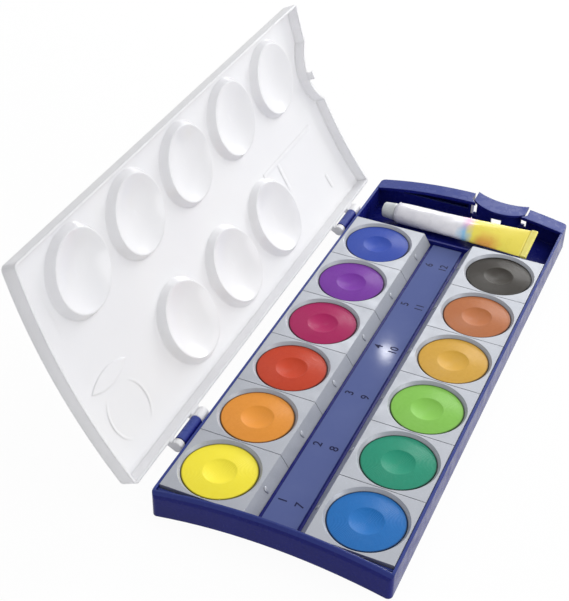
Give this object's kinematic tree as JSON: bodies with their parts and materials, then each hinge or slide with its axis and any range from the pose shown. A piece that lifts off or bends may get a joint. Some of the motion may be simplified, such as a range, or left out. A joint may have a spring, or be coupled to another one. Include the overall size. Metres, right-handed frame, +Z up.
{
  "type": "paint set box",
  "caption": "Flat hinged paint box with an arched tray, two rows of lift-out pans of paint, a brush channel, a paint tube and a white lid with mixing wells.",
  "frame": {"origin": "middle of the tray's underside, on the surface that it stands on", "axes": "+Y along the tray from the near end to the latch end, +X from the lid hinge to the open side, +Z up out of the tray"},
  "size_m": [0.1517, 0.2481, 0.1014],
  "materials": {
    "tray_blue": "semi-gloss moulded plastic",
    "strip_blue": "fine satin",
    "latch_blue": "semi-gloss moulded plastic",
    "lid_white": "translucent milky white, smooth",
    "pan_grey": "light silver grey, satin",
    "tube_coat": "printed and lacquered soft metal",
    "tube_fold_coat": "printed and lacquered soft metal, crimped",
    "tube_neck": "bare soft metal",
    "cap_grey": "light grey, smooth",
    "paint_l1": "dry pressed paint",
    "paint_l2": "dry pressed paint",
    "paint_l3": "dry pressed paint",
    "paint_l4": "dry pressed paint",
    "paint_l5": "dry pressed paint",
    "paint_l6": "dry pressed paint",
    "paint_r1": "dry pressed paint",
    "paint_r2": "dry pressed paint",
    "paint_r3": "dry pressed paint",
    "paint_r4": "dry pressed paint",
    "paint_r5": "dry pressed paint",
    "paint_r6": "dry pressed paint"
  },
  "bodies": {
    "tray": {"tray": "tray_blue", "number_strip": "strip_blue", "hinge_hook_near": "tray_blue", "hinge_hook_far": "tray_blue", "latch_pin_l": "tray_blue", "latch_pin_r": "tray_blue"},
    "lid": {"lid": "lid_white", "hinge_pin_near": "lid_white", "hinge_pin_far": "lid_white"},
    "latch": {"latch": "latch_blue"},
    "pan_l1": {"pan_l1": "pan_grey", "paint_l1": "paint_l1"},
    "pan_l2": {"pan_l2": "pan_grey", "paint_l2": "paint_l2"},
    "pan_l3": {"pan_l3": "pan_grey", "paint_l3": "paint_l3"},
    "pan_l4": {"pan_l4": "pan_grey", "paint_l4": "paint_l4"},
    "pan_l5": {"pan_l5": "pan_grey", "paint_l5": "paint_l5"},
    "pan_l6": {"pan_l6": "pan_grey", "paint_l6": "paint_l6"},
    "pan_r1": {"pan_r1": "pan_grey", "paint_r1": "paint_r1"},
    "pan_r2": {"pan_r2": "pan_grey", "paint_r2": "paint_r2"},
    "pan_r3": {"pan_r3": "pan_grey", "paint_r3": "paint_r3"},
    "pan_r4": {"pan_r4": "pan_grey", "paint_r4": "paint_r4"},
    "pan_r5": {"pan_r5": "pan_grey", "paint_r5": "paint_r5"},
    "pan_r6": {"pan_r6": "pan_grey", "paint_r6": "paint_r6"},
    "tube": {"tube_body": "tube_coat", "tube_shoulder": "tube_neck", "tube_fold": "tube_fold_coat"},
    "cap": {"tube_cap": "cap_grey"}
  },
  "joints": [
    {"name": "lid_hinge", "type": "hinge", "parent": "tray", "child": "lid", "pos_m": [-0.0517, 0, 0.0108], "axis": [0, -1, 0], "range_deg": [-116, 0]},
    {"name": "latch_pivot", "type": "hinge", "parent": "tray", "child": "latch", "pos_m": [0.0153, 0.11825, 0.00726], "axis": [-1, 0, 0], "range_deg": [0, 12], "stiffness_Nm_per_rad": 0.05},
    {"name": "pan_l1_lift", "type": "slide", "parent": "tray", "child": "pan_l1", "axis": [0, 0, 1], "range_m": [0, 0.02]},
    {"name": "pan_l2_lift", "type": "slide", "parent": "tray", "child": "pan_l2", "axis": [0, 0, 1], "range_m": [0, 0.02]},
    {"name": "pan_l3_lift", "type": "slide", "parent": "tray", "child": "pan_l3", "axis": [0, 0, 1], "range_m": [0, 0.02]},
    {"name": "pan_l4_lift", "type": "slide", "parent": "tray", "child": "pan_l4", "axis": [0, 0, 1], "range_m": [0, 0.02]},
    {"name": "pan_l5_lift", "type": "slide", "parent": "tray", "child": "pan_l5", "axis": [0, 0, 1], "range_m": [0, 0.02]},
    {"name": "pan_l6_lift", "type": "slide", "parent": "tray", "child": "pan_l6", "axis": [0, 0, 1], "range_m": [0, 0.02]},
    {"name": "pan_r1_lift", "type": "slide", "parent": "tray", "child": "pan_r1", "axis": [0, 0, 1], "range_m": [0, 0.02]},
    {"name": "pan_r2_lift", "type": "slide", "parent": "tray", "child": "pan_r2", "axis": [0, 0, 1], "range_m": [0, 0.02]},
    {"name": "pan_r3_lift", "type": "slide", "parent": "tray", "child": "pan_r3", "axis": [0, 0, 1], "range_m": [0, 0.02]},
    {"name": "pan_r4_lift", "type": "slide", "parent": "tray", "child": "pan_r4", "axis": [0, 0, 1], "range_m": [0, 0.02]},
    {"name": "pan_r5_lift", "type": "slide", "parent": "tray", "child": "pan_r5", "axis": [0, 0, 1], "range_m": [0, 0.02]},
    {"name": "pan_r6_lift", "type": "slide", "parent": "tray", "child": "pan_r6", "axis": [0, 0, 1], "range_m": [0, 0.02]},
    {"name": "tube_lift", "type": "slide", "parent": "tray", "child": "tube", "axis": [0, 0, 1], "range_m": [0, 0.03]},
    {"name": "cap_turn", "type": "hinge", "parent": "tube", "child": "cap", "pos_m": [-0.03537, 0.09952, 0.01035], "axis": [-0.9967, 0.0627, -0.0523], "range_deg": [0, 540]}
  ]
}
